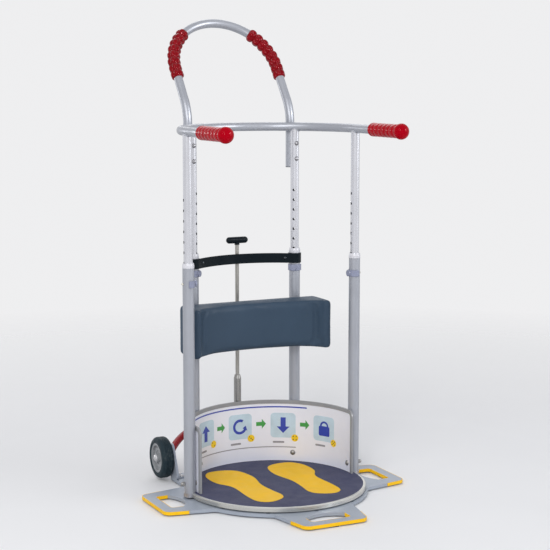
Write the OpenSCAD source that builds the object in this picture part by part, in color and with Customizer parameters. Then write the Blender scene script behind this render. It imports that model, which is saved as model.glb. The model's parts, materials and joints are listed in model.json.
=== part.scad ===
// Patient turner: a turntable on a flat base, with a guard panel, telescopic uprights,
// a handrail for the patient and a hoop for the carer.
// The origin is on the floor on the turning axis. The patient faces +Y, towards the guard
// panel, the wheels and the hoop, and +X is the patient's right. Lengths are millimetres.

/* [Base plate] */
// Thickness of the rubber sheet under the base
rubber_t = 3; // [2:0.5:5]
// Thickness of the base plate
plate_t = 8; // [6:0.5:12]
// How far the round part of the base plate reaches past the turntable
plate_margin = 5; // [3:0.5:9]
// Length of an ear past the round part, without its edging
ear_len = 95; // [85:0.5:110]
// Half width of an ear at its outer edge
ear_tip_half = 80; // [72:1:88]
// Half width of an ear beside the round part
ear_root_half = 99; // [92:1:106]
// Corner radius of an ear
ear_corner_r = 18; // [10:1:26]
// Radius of the blend between an ear and the round part
ear_blend_r = 14; // [8:1:30]
// Width of the bar outside a hand slot
grip_bar_w = 26; // [20:0.5:34]
// Half width of a hand slot
slot_half = 52; // [45:1:60]
// Corner radius of a hand slot
slot_corner_r = 9; // [5:0.5:14]
// Distance of a hand slot from the round part of the plate
slot_gap = 17; // [10:0.5:26]
// Bow of a hand slot's inner edge
slot_bow = 20; // [12:1:26]
// Thickness of the yellow edging
edging_t = 1.5; // [1:0.25:2.5]
// How far the edging reaches back from an ear's outer edge
edging_len = 55; // [40:1:62]

/* [Wheels] */
// Outside diameter of a wheel
wheel_d = 105; // [96:1:110]
// Width of a tyre
tyre_w = 32; // [26:1:36]
// Diameter of a wheel hub
hub_d = 76; // [66:1:82]
// Diameter of a wheel axle
axle_d = 10; // [8:0.5:12]
// Distance of a wheel's middle from the plane of symmetry
axle_x = 212; // [208:1:225]
// How far the axle line lies inside the round part of the base plate
axle_inset = 5; // [0:1:10]
// Height of the axle line above the base plate
axle_rise = 48; // [45:1:56]
// Thickness of a wheel bracket
bracket_t = 6; // [4:0.5:8]
// Diameter of the red foot bar
bar_d = 18; // [16:1:24]
// Height of the foot bar's ends above the base plate
bar_rise = 73; // [70:1:85]
// Rise of the foot bar's middle above its ends
bar_crown = 41; // [20:1:60]
// How far the foot bar's middle reaches past the round part of the base plate
bar_out = 60; // [55:1:80]

/* [Turntable] */
// Outside radius of the turntable
deck_r = 225; // [222:1:228]
// Height of the turntable's rim
rim_h = 12; // [11:0.5:16]
// Thickness of the rim
rim_t = 6; // [4:0.5:8]
// Gap between the base plate and the rim
turn_gap = 2; // [1.5:0.25:3]
// Thickness of the deck plate under the mat
deck_t = 5; // [4.5:0.25:6]
// Thickness of the anti-slip mat
mat_t = 3; // [2:0.25:3.5]
// Length of a shoe print
print_len = 306; // [270:1:315]
// Width of a shoe print
print_w = 112; // [95:1:118]
// Distance of a shoe print's middle from the plane of symmetry
print_x = 87; // [80:1:95]

/* [Turning centre] */
// Diameter of the pivot post
post_d = 30; // [24:1:40]
// Wall of the hub bush
bush_wall = 3; // [2:0.25:5]
// Thickness of the retaining cap
cap_t = 2.2; // [1.5:0.1:2.6]
// Radius of the ball track
race_r = 158; // [120:1:180]
// Width of a bearing race
race_w = 16; // [12:1:24]
// Thickness of a bearing race
race_t = 2; // [1.8:0.1:2.2]
// Depth of the ball groove
groove_depth = 1.2; // [0.8:0.1:1.5]
// Number of bearing balls
ball_count = 24; // [12:1:36]

/* [Guard panel] */
// Height of the guard panel
panel_h = 160; // [140:1:175]
// Thickness of the guard panel
panel_t = 2; // [1.5:0.25:3]
// Gap between the panel and the tubes, taken up by spacers
panel_gap = 2; // [1.8:0.1:4]
// How far the panel runs past the turning axis at each end, in degrees
panel_over = 5; // [3:0.5:7]
// Wall of the edge trim
trim_t = 1.5; // [1:0.1:1.6]
// Depth of the edge trim
trim_depth = 9.5; // [7:0.5:12]
// Radius of the panel's top corners
panel_corner_r = 18; // [14:1:24]
// Height of the panel bolts above the turntable
panel_bolt_rise = 22; // [18:1:26]
// Diameter of the panel bolts
bolt_d = 6; // [5:0.5:7]

/* [Uprights] */
// How far the axes of the uprights stand outside the turntable's edge
upright_out = 1; // [0:0.5:3]
// Angle of the front uprights from the X axis
front_angle = 2; // [1:0.5:6]
// Angle of the rear uprights from the X axis
rear_angle = 51; // [48:0.5:56]
// Outside diameter of a lower tube
tube_od = 28; // [27:0.5:30]
// Wall of a lower tube
tube_wall = 1.5; // [1.2:0.1:2]
// Length of a lower tube
lower_len = 548; // [520:1:600]
// Outside diameter of the upper tubes, the rail and the hoop
inner_od = 22; // [20:0.5:22.5]
// Wall of the upper tubes
inner_wall = 1.5; // [1.2:0.1:2]
// Length of an inner tube inside its lower tube
inner_insert = 311; // [290:1:330]
// Pitch of the height holes
hole_pitch = 25; // [20:1:28]
// Diameter of the height holes
hole_d = 7; // [6.4:0.2:8]
// Number of height holes above the locked one
holes_above = 8; // [6:1:9]
// Number of height holes below the locked one
holes_below = 4; // [2:1:6]
// Height of a collar above its lower tube
collar_h = 12; // [8:1:16]
// Length of a collar's sleeve inside its lower tube
collar_sleeve = 24; // [16:1:26]
// Distance of a locking pin below the top of its lower tube
pin_drop = 38; // [36:1:48]
// Diameter of a locking pin
pin_d = 6; // [5:0.2:6.2]
// Height of a locking clip
clip_h = 16; // [12:1:18]
// Wall of a locking clip
clip_wall = 2.5; // [2:0.25:3.5]

/* [Handles] */
// Height of the rail's axis above the lower tubes
rail_rise = 323; // [300:1:360]
// Length of a rail grip
grip_len = 150; // [130:1:180]
// Distance of a rail grip's inner end in front of the turning axis
grip_start = 80; // [60:1:100]
// Diameter of a rail grip over its ribs
grip_d = 32; // [28:0.5:34]
// Diameter of a rail grip's bulb
grip_bulb_d = 38.5; // [34:0.5:42]
// Number of ribs on a rail grip
grip_ribs = 6; // [5:1:9]
// Length of the hoop's legs below the rail's axis
leg_drop = 103; // [90:1:110]
// Height of the hoop's bend above the rail's axis
bend_rise = 42; // [0:1:60]
// Radius of the hoop's bend
bend_r = 100; // [80:1:120]
// Lean of the hoop from the vertical, in degrees
hoop_lean = 36; // [24:1:40]
// Length of the leaning straight, from the bend to the hoop's arch
hoop_straight = 131; // [110:1:170]
// Number of bubbles on a hoop grip
bubble_count = 8; // [6:1:8]
// Pitch of the bubbles
bubble_pitch = 19.5; // [16:0.5:21]
// Diameter of a bubble
bubble_d = 31.5; // [31:0.5:34]
// Length of a hoop grip below the arch
bubble_lead = 31; // [10:1:40]
// Distances of the hoop bolts below the rail's axis
hoop_bolt_drops = [42, 81];

/* [Cross band] */
// Height of the cross band
band_h = 25; // [18:1:28]
// Thickness of the cross band
band_t = 3; // [2:0.25:4]
// Distance of the cross band below the top of the lower tubes
band_drop = 1; // [0.5:0.5:4]

/* [Turning lock] */
// How far the lock rod stands inside the circle of the uprights
lock_in = 4; // [3:0.5:5]
// Diameter of the lock rod
lock_d = 10; // [8:0.5:11]
// Diameter of the guide sleeve
sleeve_d = 19; // [17:0.5:22]
// Height of the sleeve's top above the turntable
sleeve_top_rise = 231; // [205:1:250]
// Height of the T-handle's axis above the cross band
tee_rise = 35; // [30:1:60]
// Length of the T-handle
tee_len = 60; // [50:1:80]
// Diameter of the T-handle
tee_d = 17; // [15:0.5:22]
// Angle between the lock holes
lock_step = 30; // [15:15:60]

/* [Knee pad] */
// Width of the pad
pad_w = 376; // [350:1:390]
// Depth of the pad at its ends
pad_t = 98; // [85:1:104]
// Depth of the hollow in the pad's front
pad_hollow = 55; // [40:1:60]
// Width of the pad's front beside the hollow
pad_lip = 18; // [14:1:26]
// Height of the pad
pad_h = 120; // [110:1:140]
// Height of the pad's middle above the turntable
pad_rise = 375; // [360:1:390]
// Thickness of the backing plate
backing_t = 3; // [2:0.25:4]
// Least wall of a tube clamp
clamp_wall = 2.5; // [2:0.25:4]
// Height of a tube clamp
clamp_h = 34; // [26:1:44]

/* [Hidden] */
$fn = 64;

// Overrun of every cut
over = 2;
// Gap of parts that slide or turn on each other
run_gap = 0.08;
// Gap of parts that are pressed or bonded together
fit_gap = 0.02;
// Gap of soft and loose parts
free_gap = 0.3;
// Play of a bolt in its hole, on the diameter
bolt_play = 0.3;

// Colours
c_tube = [0.72, 0.72, 0.76];
c_bright = [0.82, 0.82, 0.84];
c_plate = [0.62, 0.65, 0.72];
c_yellow = [0.95, 0.74, 0.12];
c_rubber = [0.12, 0.12, 0.13];
c_steel = [0.66, 0.66, 0.66];
c_red = [0.72, 0.03, 0.08];
c_tyre = [0.2, 0.26, 0.29];
c_hub = [0.6, 0.61, 0.63];
c_mat = [0.28, 0.28, 0.36];
c_white = [0.9, 0.9, 0.92];
c_panel = [0.84, 0.83, 0.84];
c_trim = [0.5, 0.5, 0.52];
c_black = [0.04, 0.06, 0.08];
c_clip = [0.48, 0.52, 0.62];
c_pad = [0.25, 0.3, 0.37];

// Radii and distances that follow the turntable
plate_r = deck_r + plate_margin;
ear_reach = plate_r + ear_len;
slot_reach = ear_reach - grip_bar_w;
axle_y = plate_r - axle_inset;
bar_reach = plate_r + bar_out;
upright_r = deck_r + upright_out;
lock_r = upright_r - lock_in;

// Levels above the floor
plate_top = rubber_t + plate_t;
rim_bottom = plate_top + turn_gap;
deck_level = rim_bottom + rim_h;
deck_top = deck_level - mat_t;
deck_bottom = deck_top - deck_t;
panel_top = deck_level + panel_h;
panel_bolt_z = deck_level + panel_bolt_rise;
lower_top = deck_level + lower_len;
pin_z = lower_top - pin_drop;
rail_z = lower_top + rail_rise;
inner_bottom = lower_top - inner_insert;
band_top = lower_top - band_drop;
axle_z = plate_top + axle_rise;
pad_z = deck_level + pad_rise;

// Uprights, counted from the patient's right
upright_names = ["right_front", "right_rear", "left_rear", "left_front"];
upright_angles = [front_angle, rear_angle, 180 - rear_angle, 180 - front_angle];
rear_uprights = [1, 2];
rear_x = upright_r * cos(rear_angle);
rear_y = upright_r * sin(rear_angle);
tube_r = tube_od / 2;
tube_in_r = tube_r - tube_wall;
inner_r = inner_od / 2;
inner_in_r = inner_r - inner_wall;

// Ears: the straight side leans in by ear_angle, with an arc at its corner and one at the disc
ear_angles = [0, 180, 270];
ear_slope = (ear_root_half - ear_tip_half) / ear_len;
ear_angle = atan(ear_slope);
ear_corner = [
    ear_reach - ear_corner_r,
    ear_tip_half + ear_corner_r * ear_slope - ear_corner_r / cos(ear_angle)
];
blend_reach = plate_r + ear_blend_r;
blend_k = ear_tip_half + ear_reach * ear_slope + ear_blend_r / cos(ear_angle);
blend_a = 1 + ear_slope * ear_slope;
blend_c = blend_k * blend_k - blend_reach * blend_reach;
blend_x = (blend_k * ear_slope + sqrt(pow(blend_k * ear_slope, 2) - blend_a * blend_c)) / blend_a;
blend_centre = [blend_x, blend_k - ear_slope * blend_x];

// Inset of the rubber sheet from the plate's edge, and depth of the edging in a slot
rubber_inset = 12;
slot_edging_depth = slot_reach - plate_r - slot_gap - slot_bow;

// Steps of a drawn arc
arc_steps = 16;
disc_steps = 60;

// Where a tangent from a round end leaves the other round end of a link
function link_turn(c1, r1, c2, r2) = acos((r1 - r2) / norm(c2 - c1));
function heading(v) = atan2(v[1], v[0]);
function polar(c, r, a) = c + r * [cos(a), sin(a)];
function arc(c, r, a0, a1, steps) = [for (k = [0 : steps]) polar(c, r, a0 + (a1 - a0) * k / steps)];
function reversed(p) = [for (k = [len(p) - 1 : -1 : 0]) p[k]];
function flipped(p) = [for (v = p) [v[0], -v[1]]];
function turned(p, a) = [for (v = p) [v[0] * cos(a) - v[1] * sin(a), v[0] * sin(a) + v[1] * cos(a)]];

// One side of an ear, from its blend on the disc to the middle of its outer edge
function ear_tip(grow) = arc(ear_corner, ear_corner_r + grow, 90 - ear_angle, 0, arc_steps);
blend_turn = heading(blend_centre);
ear_half = concat(arc(blend_centre, ear_blend_r, blend_turn - 180, -90 - ear_angle, arc_steps), ear_tip(0));
ear_points = concat(flipped(ear_half), reversed(ear_half));

// The whole outline, with the arcs of the disc between the ears
plate_points = [
    for (k = [0 : len(ear_angles) - 1])
        let (
            a = ear_angles[k] + blend_turn,
            b = ear_angles[(k + 1) % len(ear_angles)] - blend_turn,
            span = (b - a + 360) % 360,
            rim = arc([0, 0], plate_r, a, a + span, disc_steps)
        )
        for (v = concat(turned(ear_points, ear_angles[k]), [for (m = [1 : disc_steps - 1]) rim[m]]))
            v
];

// One side of an ear's edge and of a hand slot, from a distance to the turning axis outwards
function ear_side(x, grow) = [x, ear_tip_half + (ear_reach - x) * ear_slope + grow / cos(ear_angle)];
function ear_edge(grow) = concat([ear_side(ear_reach - edging_len, grow)], ear_tip(grow));
slot_corner = [slot_reach - slot_corner_r, slot_half - slot_corner_r];
function slot_tip(shrink) = arc(slot_corner, slot_corner_r - shrink, 90, 0, arc_steps);
function slot_edge(shrink) =
    concat([[slot_reach - slot_edging_depth, slot_half - shrink]], slot_tip(shrink));
slot_bow_r = (slot_half * slot_half + slot_bow * slot_bow) / (2 * slot_bow);
slot_turn = asin(slot_half / slot_bow_r);
slot_bow_centre = [plate_r + slot_gap + slot_bow_r, 0];
slot_points = concat(
    flipped(slot_tip(0)), reversed(slot_tip(0)),
    arc(slot_bow_centre, slot_bow_r, 180 - slot_turn, 180 + slot_turn, arc_steps)
);

// A smooth closed curve through a few points
function curve_point(p, i, t) =
    let (
        n = len(p),
        a = p[(i + n - 1) % n],
        b = p[i],
        c = p[(i + 1) % n],
        d = p[(i + 2) % n]
    )
    0.5 * (2 * b + (c - a) * t + (2 * a - 5 * b + 4 * c - d) * t * t + (3 * b - a - 3 * c + d) * t * t * t);
function closed_curve(p, steps) = [
    for (i = [0 : len(p) - 1])
        for (s = [0 : steps - 1])
            curve_point(p, i, s / steps)
];

// Simple forms
module ring(r_out, r_in, h) {
    difference() {
        cylinder(h = h, r = r_out);
        translate([0, 0, -over])
            cylinder(h = h + 2 * over, r = r_in);
    }
}

module dome(d, h) {
    cap_r = (d * d / 4 + h * h) / (2 * h);
    rotate_extrude()
        intersection() {
            translate([0, h - cap_r])
                circle(r = cap_r);
            square([d, h]);
        }
}

module tube_bend(radius, r, angle) {
    rotate_extrude(angle = angle)
        translate([radius, 0])
            circle(r = r);
}

module link(c1, r1, c2, r2) {
    turn = link_turn(c1, r1, c2, r2);
    head = heading(c2 - c1);
    translate(c1)
        circle(r = r1);
    translate(c2)
        circle(r = r2);
    polygon([
        polar(c1, r1, head + turn), polar(c1, r1, head - turn),
        polar(c2, r2, head - turn), polar(c2, r2, head + turn)
    ]);
}

module both_sides() {
    children();
    mirror([1, 0, 0])
        children();
}

module at_upright(i) {
    rotate([0, 0, upright_angles[i]])
        translate([upright_r, 0, 0])
            children();
}

module radial_bore(z, d, length) {
    translate([-length / 2, 0, z])
        rotate([0, 90, 0])
            cylinder(h = length, d = d);
}

// Base plate
module base_plate() {
    hole_d_lock = lock_d + 2 * bolt_play;
    color(c_plate)
        translate([0, 0, rubber_t])
            linear_extrude(plate_t)
                difference() {
                    union() {
                        polygon(plate_points);
                        bracket_lugs();
                    }
                    for (a = ear_angles)
                        rotate(a)
                            polygon(slot_points);
                    for (a = [0 : lock_step : 360 - lock_step])
                        rotate(a)
                            translate([0, lock_r])
                                circle(d = hole_d_lock);
                    both_sides()
                        for (y = bracket_bolt_ys)
                            translate([bracket_bolt_x, y])
                                circle(d = bracket_bolt_d + bolt_play);
                }
}

module edge_strip(outer, inner) {
    polygon(concat(flipped(outer), reversed(outer), inner, reversed(flipped(inner))));
}

module ear_edging() {
    color(c_yellow)
        for (a = ear_angles)
            rotate([0, 0, a])
                translate([0, 0, rubber_t])
                    linear_extrude(plate_t) {
                        edge_strip(ear_edge(edging_t), ear_edge(fit_gap));
                        edge_strip(slot_edge(fit_gap), slot_edge(edging_t));
                    }
}

module base_rubber() {
    color(c_rubber) {
        cylinder(h = rubber_t, r = plate_r - rubber_inset);
        for (a = ear_angles)
            rotate([0, 0, a])
                translate([(slot_reach + ear_reach) / 2, 0, 0])
                    cylinder(h = rubber_t, r = (ear_reach - slot_reach) / 2 - edging_t);
    }
}

// Turning centre
post_r = post_d / 2;
cap_cover = 0.3;
cap_r = post_r + 2 * bush_wall;
cap_play = 1;
post_top = deck_top - cap_cover - cap_t;
bush_top = post_top - run_gap;
bush_r = post_r + bush_wall;
race_gap = deck_bottom - plate_top - 2 * race_t;
ball_z = (plate_top + deck_bottom) / 2;
groove_r = race_gap / 2 + groove_depth;
ball_r = groove_r - run_gap;

module pivot_post() {
    color(c_steel)
        translate([0, 0, plate_top])
            cylinder(h = post_top - plate_top, r = post_r);
}

module pivot_cap() {
    color(c_steel)
        translate([0, 0, post_top])
            cylinder(h = cap_t, r = cap_r);
}

module hub_bush() {
    color(c_white)
        translate([0, 0, rim_bottom])
            ring(bush_r, post_r + run_gap, bush_top - rim_bottom);
}

module race(z) {
    color(c_steel)
        difference() {
            translate([0, 0, z])
                ring(race_r + race_w / 2, race_r - race_w / 2, race_t);
            translate([0, 0, ball_z])
                tube_bend(race_r, groove_r, 360);
        }
}

module bearing_balls() {
    color(c_bright)
        for (i = [0 : ball_count - 1])
            rotate([0, 0, i * 360 / ball_count])
                translate([race_r, 0, ball_z])
                    sphere(r = ball_r);
}

// Turntable
deck_in_r = deck_r - rim_t;
rim_chamfer = 1.5;
notch_play = 2.4;
lock_notch_d = lock_d + notch_play;
print_t = 0.4;

module lock_notch() {
    translate([0, lock_r, rim_bottom - over])
        cylinder(h = rim_h + 2 * over, d = lock_notch_d);
}

module deck_plate() {
    color(c_steel)
        difference() {
            translate([0, 0, deck_bottom])
                ring(deck_in_r - fit_gap, bush_r + fit_gap, deck_t);
            translate([0, 0, bush_top])
                cylinder(h = deck_t, r = cap_r + cap_play);
            lock_notch();
        }
}

module deck_rim() {
    color(c_bright)
        difference() {
            translate([0, 0, rim_bottom])
                rotate_extrude()
                    polygon([
                        [deck_in_r, 0], [deck_r - rim_chamfer, 0], [deck_r, rim_chamfer],
                        [deck_r, rim_h - rim_chamfer], [deck_r - rim_chamfer, rim_h], [deck_in_r, rim_h]
                    ]);
            lock_notch();
        }
}

module anti_slip_mat() {
    color(c_mat)
        difference() {
            translate([0, 0, deck_top])
                cylinder(h = mat_t, r = deck_in_r - fit_gap);
            lock_notch();
        }
}

// Outline of the left print, as shares of its width and its length from its middle
print_shares = [
    [-0.46, 0.36], [-0.31, 0.47], [-0.1, 0.5], [0.22, 0.48], [0.43, 0.4], [0.51, 0.2], [0.4, -0.03],
    [0.42, -0.22], [0.46, -0.36], [0.35, -0.45], [0.02, -0.5], [-0.22, -0.44], [-0.27, -0.28],
    [-0.25, 0], [-0.45, 0.17]
];
print_steps = 5;

module shoe_prints() {
    outline = [for (s = print_shares) [s[0] * print_w, s[1] * print_len]];
    color(c_yellow)
        translate([0, 0, deck_level])
            linear_extrude(print_t)
                both_sides()
                    translate([-print_x, 0])
                        polygon(closed_curve(outline, print_steps));
}

// Guard panel
panel_out_r = upright_r - tube_r - panel_gap;
panel_in_r = panel_out_r - panel_t;
panel_mid_r = panel_out_r - panel_t / 2;
panel_end_y = -panel_mid_r * sin(panel_over);
dome_share = 2.33;
dome_rise_share = 0.29;
nut_share = 1.92;
nut_rise_share = 0.83;
dome_d = bolt_d * dome_share;
dome_h = dome_d * dome_rise_share;
washer_d = bolt_d * 2;
nut_d = bolt_d * nut_share;
nut_h = bolt_d * nut_rise_share;

// Spandrel that rounds both top corners, crossing the straight edges at a slight angle
corner_bite = 0.3;

module guard_corners(edge) {
    corner_y = panel_end_y + panel_corner_r - corner_bite;
    corner_z = panel_top - panel_corner_r + corner_bite;
    r = panel_corner_r + edge;
    translate([-upright_r, 0, 0])
        difference() {
            translate([0, corner_y - r - over, corner_z])
                cube([2 * upright_r, r + over, r + over]);
            translate([-over, corner_y, corner_z])
                rotate([0, 90, 0])
                    cylinder(h = 2 * upright_r + 2 * over, r = r);
        }
}

module guard_body(radial, edge, below) {
    end_angle = asin((edge - panel_end_y) / panel_mid_r);
    difference() {
        rotate([0, 0, -end_angle])
            rotate_extrude(angle = 180 + 2 * end_angle)
                translate([panel_in_r - radial, deck_level - below])
                    square([panel_t + 2 * radial, panel_h + edge + below]);
        guard_corners(edge);
    }
}

module guard_panel() {
    color(c_panel)
        difference() {
            guard_body(0, 0, 0);
            for (i = [0 : len(upright_names) - 1])
                at_upright(i)
                    radial_bore(panel_bolt_z, bolt_d + bolt_play, 4 * tube_od);
        }
}

module panel_trim() {
    color(c_trim)
        difference() {
            guard_body(trim_t + fit_gap, trim_t, 0);
            guard_body(fit_gap, fit_gap, over);
            guard_body(trim_t + over, trim_t - trim_depth, over);
            for (i = [0 : len(upright_names) - 1])
                at_upright(i)
                    radial_bore(panel_bolt_z, dome_d + 2 * free_gap, 4 * tube_od);
        }
}

module panel_fasteners() {
    head_x = sqrt(panel_in_r * panel_in_r - dome_d * dome_d / 4) - upright_r;
    panel_x = panel_out_r - upright_r;
    nut_x = tube_r;
    color(c_bright)
        for (i = [0 : len(upright_names) - 1])
            at_upright(i)
                translate([0, 0, panel_bolt_z])
                    rotate([0, 90, 0]) {
                        translate([0, 0, head_x - fit_gap])
                            mirror([0, 0, 1])
                                dome(dome_d, dome_h);
                        translate([0, 0, head_x - fit_gap - over / 2])
                            cylinder(h = nut_x + nut_h - head_x, d = bolt_d);
                        translate([0, 0, panel_x + fit_gap])
                            ring(washer_d / 2, (bolt_d + bolt_play) / 2, panel_gap - 2 * fit_gap);
                        translate([0, 0, nut_x + fit_gap])
                            difference() {
                                union() {
                                    cylinder(h = nut_h, d = nut_d, $fn = 6);
                                    translate([0, 0, nut_h])
                                        dome(nut_d * cos(30), nut_h);
                                }
                                translate([0, 0, -over])
                                    cylinder(h = nut_h + over, r = bolt_d / 2 + fit_gap);
                            }
                    }
}

// Uprights
foot_share = 1.12;
foot_lift = 2;
spigot_share = 1.36;
foot_r = tube_r * foot_share;
foot_h = rim_h - foot_lift;
spigot_h = panel_bolt_rise * spigot_share;

module upright_feet() {
    color(c_steel)
        for (i = [0 : len(upright_names) - 1])
            difference() {
                at_upright(i) {
                    translate([0, 0, deck_level - foot_h])
                        cylinder(h = foot_h, r = foot_r);
                    translate([0, 0, deck_level - foot_h / 2])
                        cylinder(h = spigot_h + foot_h / 2, r = tube_in_r - fit_gap);
                }
                translate([0, 0, -over])
                    cylinder(h = deck_level + over + fit_gap, r = deck_r + fit_gap);
                at_upright(i)
                    radial_bore(panel_bolt_z, bolt_d + bolt_play, 4 * tube_od);
            }
}

module lower_tube(i) {
    color(c_tube)
        at_upright(i)
            difference() {
                translate([0, 0, deck_level])
                    ring(tube_r, tube_in_r, lower_len);
                radial_bore(panel_bolt_z, bolt_d + bolt_play, 2 * tube_od);
                radial_bore(pin_z, hole_d, 2 * tube_od);
            }
}

collar_root_share = 1.04;
collar_tip_share = 1.2;
collar_root_r = tube_r * collar_root_share;
collar_tip_r = inner_r * collar_tip_share;

module collars() {
    color(c_white)
        for (i = [0 : len(upright_names) - 1])
            at_upright(i)
                difference() {
                    union() {
                        translate([0, 0, lower_top - collar_sleeve])
                            cylinder(h = collar_sleeve, r = tube_in_r - fit_gap);
                        translate([0, 0, lower_top])
                            cylinder(h = collar_h / 2, r = collar_root_r);
                        translate([0, 0, lower_top + collar_h / 2])
                            cylinder(h = collar_h / 2, r1 = collar_root_r, r2 = collar_tip_r);
                    }
                    translate([0, 0, lower_top - collar_sleeve - over])
                        cylinder(h = collar_sleeve + collar_h + 2 * over, r = inner_r + run_gap);
                }
}

module rail_axis(r) {
    translate([0, 0, rail_z])
        tube_bend(upright_r, r, 180);
}

// An inner tube ends a little under the rail's axis, in a saddle that fits the rail
saddle_share = 0.4;

module inner_tube(i) {
    inner_top = rail_z - inner_r * saddle_share;
    color(c_bright)
        difference() {
            at_upright(i)
                difference() {
                    translate([0, 0, inner_bottom])
                        ring(inner_r, inner_in_r, inner_top - inner_bottom);
                    for (k = [-holes_below : holes_above])
                        radial_bore(pin_z + k * hole_pitch, hole_d, 2 * tube_od);
                }
            rail_shape(inner_r + fit_gap);
            both_sides()
                for (drop = hoop_bolt_drops)
                    translate([rear_x, leg_y, rail_z - drop])
                        rotate([90, 0, 0])
                            cylinder(h = 2 * inner_od, d = bolt_d + bolt_play);
        }
}

// Locking clips, with the pin right through the tubes
clip_r = tube_r + free_gap;
clip_arm_share = 0.29;
clip_pad_share = 1.2;
clip_arm = tube_r * clip_arm_share;
clip_pad = clip_wall * clip_pad_share;
pin_tip = 4;

module clip(i) {
    clip_out = clip_r + clip_wall;
    color(c_clip)
        at_upright(i)
            translate([0, 0, pin_z]) {
                translate([0, 0, -clip_h / 2]) {
                    difference() {
                        ring(clip_out, clip_r, clip_h);
                        translate([0, -2 * clip_out, -over])
                            cube([2 * clip_out, 4 * clip_out, clip_h + 2 * over]);
                    }
                    for (side = [-1, 1])
                        translate([0, side * (clip_r + clip_wall / 2) - clip_wall / 2, 0])
                            cube([clip_arm, clip_wall, clip_h]);
                }
                translate([-clip_out - clip_pad, 0, 0])
                    rotate([0, 90, 0]) {
                        cylinder(h = clip_pad + clip_wall / 2, d = clip_h);
                        cylinder(h = clip_out + clip_pad + tube_r + pin_tip / 2, d = pin_d);
                        translate([0, 0, clip_out + clip_pad + tube_r + pin_tip / 2])
                            dome(pin_d, pin_tip / 2);
                    }
            }
}

// Handles
arm_end = grip_start + grip_len - grip_bulb_d / 2;
leg_r = upright_r + inner_od + 2 * fit_gap;
leg_y = sqrt(leg_r * leg_r - rear_x * rear_x);
leg_bottom = rail_z - leg_drop;
bend_z = rail_z + bend_rise;
bend_lead = bend_r * tan(hoop_lean / 2);

module rail_shape(r) {
    rail_axis(r);
    both_sides()
        translate([upright_r, 0, rail_z])
            rotate([90, 0, 0])
                cylinder(h = arm_end, r = r);
}

module patient_rail() {
    color(c_tube)
        difference() {
            rail_shape(inner_r);
            rail_shape_bore();
        }
}

module rail_shape_bore() {
    rail_axis(inner_in_r);
    both_sides()
        translate([upright_r, 0, rail_z])
            rotate([90, 0, 0])
                cylinder(h = arm_end + over, r = inner_in_r);
}

// Radius of a rail grip, from its inner end (0) to its tip (1)
rib_depth_share = 0.1;
flange_share = 0.05;
bulb_share = 0.76;
tip_share = 0.87;
grip_steps = 84;
function grip_radius(s) =
    let (
        body = grip_d / 2,
        bulb = grip_bulb_d / 2,
        ribs_s = (s - flange_share) / (bulb_share - flange_share),
        swell = 0.5 - 0.5 * cos(180 * (s - bulb_share) / (tip_share - bulb_share)),
        tip_s = (s - tip_share) / (1 - tip_share)
    )
    s < flange_share ? body
    : s < bulb_share ? body * (1 - rib_depth_share * pow(cos(180 * grip_ribs * ribs_s), 2))
    : s < tip_share ? body * (1 - rib_depth_share) * (1 - swell) + bulb * swell
    : bulb * sqrt(max(0, 1 - tip_s * tip_s));

module rail_grip() {
    profile = [for (k = [0 : grip_steps]) [grip_radius(k / grip_steps), k / grip_steps * grip_len]];
    color(c_red)
        translate([upright_r, -grip_start, rail_z])
            rotate([90, 0, 0])
                difference() {
                    rotate_extrude()
                        polygon(concat([[0, 0]], profile));
                    translate([0, 0, -over])
                        cylinder(h = arm_end - grip_start + over, r = inner_r + fit_gap);
                }
}

// The hoop's leaning plane, with its Z along the lean
module hoop_plane() {
    translate([0, leg_y, bend_z])
        rotate([-hoop_lean, 0, 0])
            children();
}

// The bends are a hair stouter than the straights and run a little way over them
weld = 0.2;
weld_turn = 2;

module hoop_bend(radius, r, angle) {
    rotate([0, 0, -weld_turn])
        tube_bend(radius, r + weld, angle + 2 * weld_turn);
}

module hoop_shape(r, reach) {
    both_sides() {
        translate([rear_x, leg_y, leg_bottom - reach])
            cylinder(h = bend_z - bend_lead - leg_bottom + reach, r = r);
        translate([rear_x, leg_y + bend_r, bend_z - bend_lead])
            rotate([90, 0, -90])
                hoop_bend(bend_r, r, hoop_lean);
        hoop_plane()
            translate([rear_x, 0, bend_lead])
                cylinder(h = hoop_straight - bend_lead, r = r);
    }
    hoop_plane()
        translate([0, 0, hoop_straight])
            rotate([90, 0, 0])
                hoop_bend(rear_x, r, 180);
}

module carer_hoop() {
    color(c_tube)
        difference() {
            hoop_shape(inner_r, 0);
            hoop_shape(inner_in_r, over);
            both_sides()
                for (drop = hoop_bolt_drops)
                    translate([rear_x, leg_y + inner_od, rail_z - drop])
                        rotate([90, 0, 0])
                            cylinder(h = 2 * inner_od, d = bolt_d + bolt_play);
        }
}

// A bubble's place in the hoop's plane, by its distance along the tube from the arch's start
function bubble_turn(s) = s * 180 / (PI * rear_x);
function bubble_place(s) =
    s < 0 ? [rear_x, 0, hoop_straight + s]
    : [rear_x * cos(bubble_turn(s)), 0, hoop_straight + rear_x * sin(bubble_turn(s))];

module hoop_grip() {
    grip_bore_r = inner_r + weld + fit_gap;
    color(c_red)
        difference() {
            hoop_plane()
                for (k = [0 : bubble_count - 1])
                    translate(bubble_place((k + 0.5) * bubble_pitch - bubble_lead))
                        sphere(d = bubble_d);
            hoop_plane() {
                translate([rear_x, 0, hoop_straight - bubble_lead - bubble_d])
                    cylinder(h = bubble_lead + bubble_d, r = grip_bore_r);
                translate([0, 0, hoop_straight])
                    rotate([90, 0, 0])
                        tube_bend(rear_x, grip_bore_r, 90);
            }
        }
}

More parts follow.
